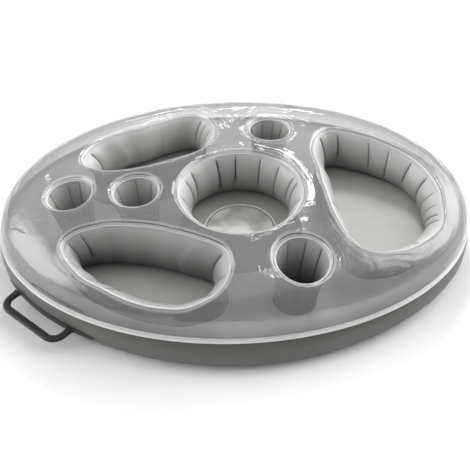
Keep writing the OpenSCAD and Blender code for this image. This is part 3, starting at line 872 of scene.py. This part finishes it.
def film_material():
    """Clear PVC film. It lets light through, less so at a slant, and it mirrors more where it is
    seen edge on. Ripples run along its welds, which gather it."""
    material, tree, out = empty_material("clear film")
    uneven = place_group(tree, unevenness, Wave_Scale=10.0, Grain=0.0)
    place = shader(tree, "TexCoord").outputs["Object"]
    drift = shader(tree, "TexNoise", Vector=place, Scale=7.0, Detail=1.0)
    patchy = shader(tree, "TexNoise", Vector=place, Scale=5.0, Detail=2.0)
    patches = ramped(tree, patchy.outputs["Fac"], 0.42, 0.62)
    turned = shader(tree, "Math", "MULTIPLY", in0=drift.outputs["Fac"], in1=22.0)

    def ripples(away, step, near, far, rise):
        """Ripples along an edge, which fade out between two distances from it."""
        phase = shader(tree, "Math", "MULTIPLY_ADD", in0=away, in1=2 * math.pi / step,
                       in2=turned.outputs[0])
        wave = shader(tree, "Math", "SINE", in0=phase.outputs[0])
        faded = ramped(tree, away, near, far, rise, 0.0)
        fade = shader(tree, "Math", "MULTIPLY", in0=faded, in1=patches)
        return shader(tree, "Math", "MULTIPLY", in0=wave.outputs[0], in1=fade.outputs[0]).outputs[0]

    from_lip = stored_number(tree, "from_lip")
    from_seam = stored_number(tree, "from_seam")
    gathered = shader(tree, "Math", "ADD", in0=ripples(from_lip, *lip_ripples),
                      in1=ripples(from_seam, *seam_ripples))

    # The long crease fades out across and along its line.
    middle = tuple(c * MM for c in long_crease_at)
    offset = shader(tree, "VectorMath", "SUBTRACT", in0=place, in1=middle).outputs[0]

    def distance(direction):
        """How far a point is from the middle of the crease, measured in one direction."""
        measured = shader(tree, "VectorMath", "DOT_PRODUCT", in0=offset, in1=direction)
        return shader(tree, "Math", "ABSOLUTE", in0=measured.outputs["Value"]).outputs[0]

    line = ramped(tree, distance(long_crease_across), 0.0, long_crease_w * MM,
                  long_crease_depth, 0.0)
    ends = ramped(tree, distance(long_crease_along), *(c * MM for c in long_crease_fade), 1.0, 0.0)
    crease = shader(tree, "Math", "MULTIPLY", in0=line, in1=ends)

    bent = shader(tree, "Math", "SUBTRACT", in0=gathered.outputs[0], in1=crease.outputs[0])
    height = shader(tree, "Math", "MULTIPLY_ADD", in0=uneven.outputs["Height"], in1=film_wave,
                    in2=bent.outputs[0])
    relief = shader(tree, "Bump", Height=height.outputs[0], Strength=1.0, Distance=MM)
    edge = shader(tree, "LayerWeight", Normal=relief.outputs["Normal"])
    steep = shader(tree, "Math", "POWER", in0=edge.outputs["Facing"], in1=5.0)
    mirror = shader(tree, "Math", "MULTIPLY_ADD", in0=steep.outputs[0], in1=mirror_aslant,
                    in2=mirror_head_on)
    slant = shader(tree, "Math", "POWER", in0=edge.outputs["Facing"], in1=1.5)

    def stripe(begins, ends, strength):
        """A stripe along each lip, which begins and ends gradually."""
        return shader(tree, "Math", "MULTIPLY", in0=ramped(tree, from_lip, *begins),
                      in1=ramped(tree, from_lip, *ends, strength, 0.0)).outputs[0]

    # A thin stripe beside each lip's weld lets less light through: painted shade of the groove
    # there.
    tint = shader(tree, "Math", "MAXIMUM", in0=slant.outputs[0], in1=stripe(*groove_painted_shade))
    through = shader(tree, "BsdfTransparent",
                     Color=mixed(tree, tint.outputs[0], clear_tone, slanted_tone))

    # It is hazy where it is melted at a weld, and where it rolls over into an opening.
    haze = shader(tree, "BsdfDiffuse", Color=haze_tone)
    cloudy = shader(tree, "Math", "MAXIMUM", in0=stripe(*rolled_haze),
                    in1=ramped(tree, from_lip, *melted_haze))
    above = shader(tree, "SeparateXYZ", Vector=place).outputs["Z"]
    welded = ramped(tree, above, *((deck_z + up) * MM for up in seam_haze_top), seam_haze, 0.0)
    veil = shader(tree, "Math", "MAXIMUM", in0=cloudy.outputs[0], in1=welded)
    body = shader(tree, "MixShader", in0=veil.outputs[0], in1=through.outputs[0],
                  in2=haze.outputs[0])
    gloss = shader(tree, "BsdfAnisotropic", Color=(1, 1, 1, 1), Roughness=film_gloss,
                   Normal=relief.outputs["Normal"])
    film = shader(tree, "MixShader", in0=mirror.outputs[0], in1=body.outputs[0],
                  in2=gloss.outputs[0])
    tree.links.new(film.outputs[0], out.inputs["Surface"])
    return material


clear_pvc = film_material()

# The inner skin lies one thickness in from the outer one, along the normals of a probe mesh.
probe = bpy.data.meshes.new("probe")
probe.from_pydata((outer * MM).tolist(), [], skin_faces)
probe.update()
normals = np.zeros(len(outer) * 3, np.float32)
probe.vertex_normals.foreach_get("vector", normals)
normals = normals.reshape(-1, 3)
bpy.data.meshes.remove(probe)
inner = outer - film_t * normals
total = len(outer)
faces = skin_faces + [[i + total for i in reversed(f)] for f in skin_faces]
for rim in loop_rims:
    faces += rim_faces(rim + total, rim)
faces += rim_faces(numbers[-1], numbers[-1] + total)
points = np.concatenate([outer, inner])
top_film = as_piece("top_film", points, faces, clear_pvc, ["clear_top"], sharp=60)
from_seam = (1 - seam_share(outer[:, :2])) * (half.x + half.y) / 2
store_number(top_film, "from_lip", np.tile(clearances(outer[:, :2]).min(0), 2))
store_number(top_film, "from_seam", np.tile(from_seam, 2))


# Handle patch: a long patch of black PVC with rounded ends, welded along the lower half of the side
# band. It follows the band's swell and carries the handle loop.
handle_turn = math.radians(220)
handle_z = 25
patch_l, patch_h, patch_t = 218, 20, 1
seat = 0.3
grain_h = 0.4
handle_s = (handle_z - sheet_t) / (deck_z - 2 * sheet_t)
handle_out = float(band_out(handle_s, handle_turn))


def moulded_pvc(name, tones, roughness, bump, **texture):
    """Soft moulded PVC with a fine grain, between two tones."""
    material, tree, out = empty_material(name)
    uneven = place_group(tree, unevenness, **texture)
    relief = shader(tree, "Bump", Height=uneven.outputs["Height"], Strength=bump,
                    Distance=grain_h * MM)
    skin = shader(
        tree, "BsdfPrincipled",
        Base_Color=mixed(tree, uneven.outputs["Tone"], *tones),
        Roughness=roughness,
        Normal=relief.outputs["Normal"],
    )
    tree.links.new(skin.outputs[0], out.inputs["Surface"])
    return material


black_pvc = moulded_pvc("black handle moulding", ((0.010, 0.010, 0.009), (0.015, 0.015, 0.0135)),
                        roughness=0.48, bump=0.5, Wave_Scale=40.0, Grain_Scale=2200.0, Grain=0.5)
per_turn = np.linalg.norm(seam_point(handle_turn + 0.01) - seam_point(handle_turn - 0.01)) / 0.02
patch_turn = patch_l / 2 / per_turn
u, v = np.meshgrid(np.linspace(-1, 1, 97), np.linspace(-1, 1, 13), indexing="ij")
tall = np.sqrt(np.maximum(1 - u * u, 0.01))
s = handle_s + v * patch_h / 2 * tall / (deck_z - 2 * sheet_t)
a = handle_turn + u * patch_turn
thick = patch_t * np.clip((1 - np.maximum(np.abs(v), np.abs(u) ** 8)) * 6, 0.15, 1) ** 0.5
patch_out = band_out(s, a) + seat
patch_back = np.concatenate([seam_point(a, patch_out), band_z(s)[..., None]], -1)
patch_face = np.concatenate([seam_point(a, patch_out + thick), band_z(s)[..., None]], -1)
rows, columns = u.shape
far = rows * columns
border = np.concatenate([
    np.arange(columns), columns - 1 + columns * np.arange(1, rows),
    far - 1 - np.arange(1, columns), columns * np.arange(rows - 2, 0, -1),
])
faces = grid_faces(rows, columns, wrap=False, flip=True)
faces += grid_faces(rows, columns, far, wrap=False)
faces += rim_faces(border, border + far)
points = np.concatenate([patch_face.reshape(-1, 3), patch_back.reshape(-1, 3)])
as_piece("patch_skin", points, faces, black_pvc, ["handle_patch"])


# Handle loop: a flat bar of soft black PVC, moulded in one piece and bent round at both ends. It is
# welded to the patch by its spread feet.
handle_l, handle_reach = 150, 38
bar_w, bar_t = 13, 7
corner_r = 14
foot_gap = 0.2
foot_spread, foot_fade = 0.55, 4
bar_sides = 24
bar_squareness = 0.75
foot_at = seam_point(handle_turn, handle_out)
outward = seam_point(handle_turn, handle_out + 1) - foot_at
along = np.array([outward[1], -outward[0]])
mid_r = corner_r + bar_w / 2
leg_x = handle_l / 2 - bar_w / 2
bar_y = handle_reach - bar_w / 2


def band_gap(x):
    """How far in the patch's face lies at a distance x along the handle."""
    a = handle_turn + np.linspace(-0.6, 0.6, 1201)
    p = seam_point(a, handle_out + patch_t + seat) - foot_at
    order = np.argsort(p @ along)
    return float(np.interp(x, (p @ along)[order], (p @ outward)[order]))


path = []
for y in np.linspace(band_gap(-leg_x) + foot_gap, bar_y - mid_r, 9)[:-1]:
    path.append((-leg_x, y))
for t in np.radians(np.linspace(180, 90, 13)):
    path.append((-leg_x + mid_r + mid_r * math.cos(t), bar_y - mid_r + mid_r * math.sin(t)))
for x in np.linspace(-leg_x + mid_r, 0, 12)[1:]:
    path.append((x, bar_y))
path += [(-x, y) for x, y in reversed(path[:-1])]
path = np.array(path)
heading = np.gradient(path, axis=0)
heading /= np.linalg.norm(heading, axis=1, keepdims=True)
side = np.column_stack([-heading[:, 1], heading[:, 0]])
rings = []
for (x, y), (sx, sy) in zip(path, side):
    near = math.exp(-max(y - band_gap(x), 0) / foot_fade)
    wide = bar_w / 2 * (1 + foot_spread * near)
    ring = []
    for k in range(bar_sides):
        t = 2 * math.pi * k / bar_sides
        w = wide * math.copysign(abs(math.cos(t)) ** bar_squareness, math.cos(t))
        h = bar_t / 2 * math.copysign(abs(math.sin(t)) ** bar_squareness, math.sin(t))
        place = foot_at + (x + w * sx) * along + (y + w * sy) * outward
        ring.append((place[0], place[1], handle_z + h))
    rings.append(ring)
rings = np.array(rings)
faces = grid_faces(len(rings), bar_sides)
faces.append(list(range(bar_sides))[::-1])
faces.append(list(range((len(rings) - 1) * bar_sides, len(rings) * bar_sides)))
as_piece("handle_bar", rings.reshape(-1, 3), faces, black_pvc, ["handle_loop"])


# Valves: one soft moulding of frosted clear PVC for each chamber, welded in and pressed flat, so
# that only its stopper stands proud. The frame's own solids have its shape and get only a material.
valve_pvc = moulded_pvc("valve moulding", ((0.62, 0.64, 0.64), (0.76, 0.78, 0.78)),
                        roughness=0.3, bump=0.4, Wave_Scale=120.0, Grain=0.2)
for name in ("base_valve", "top_valve"):
    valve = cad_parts[name]
    valve.data.materials.clear()
    valve.data.materials.append(valve_pvc)
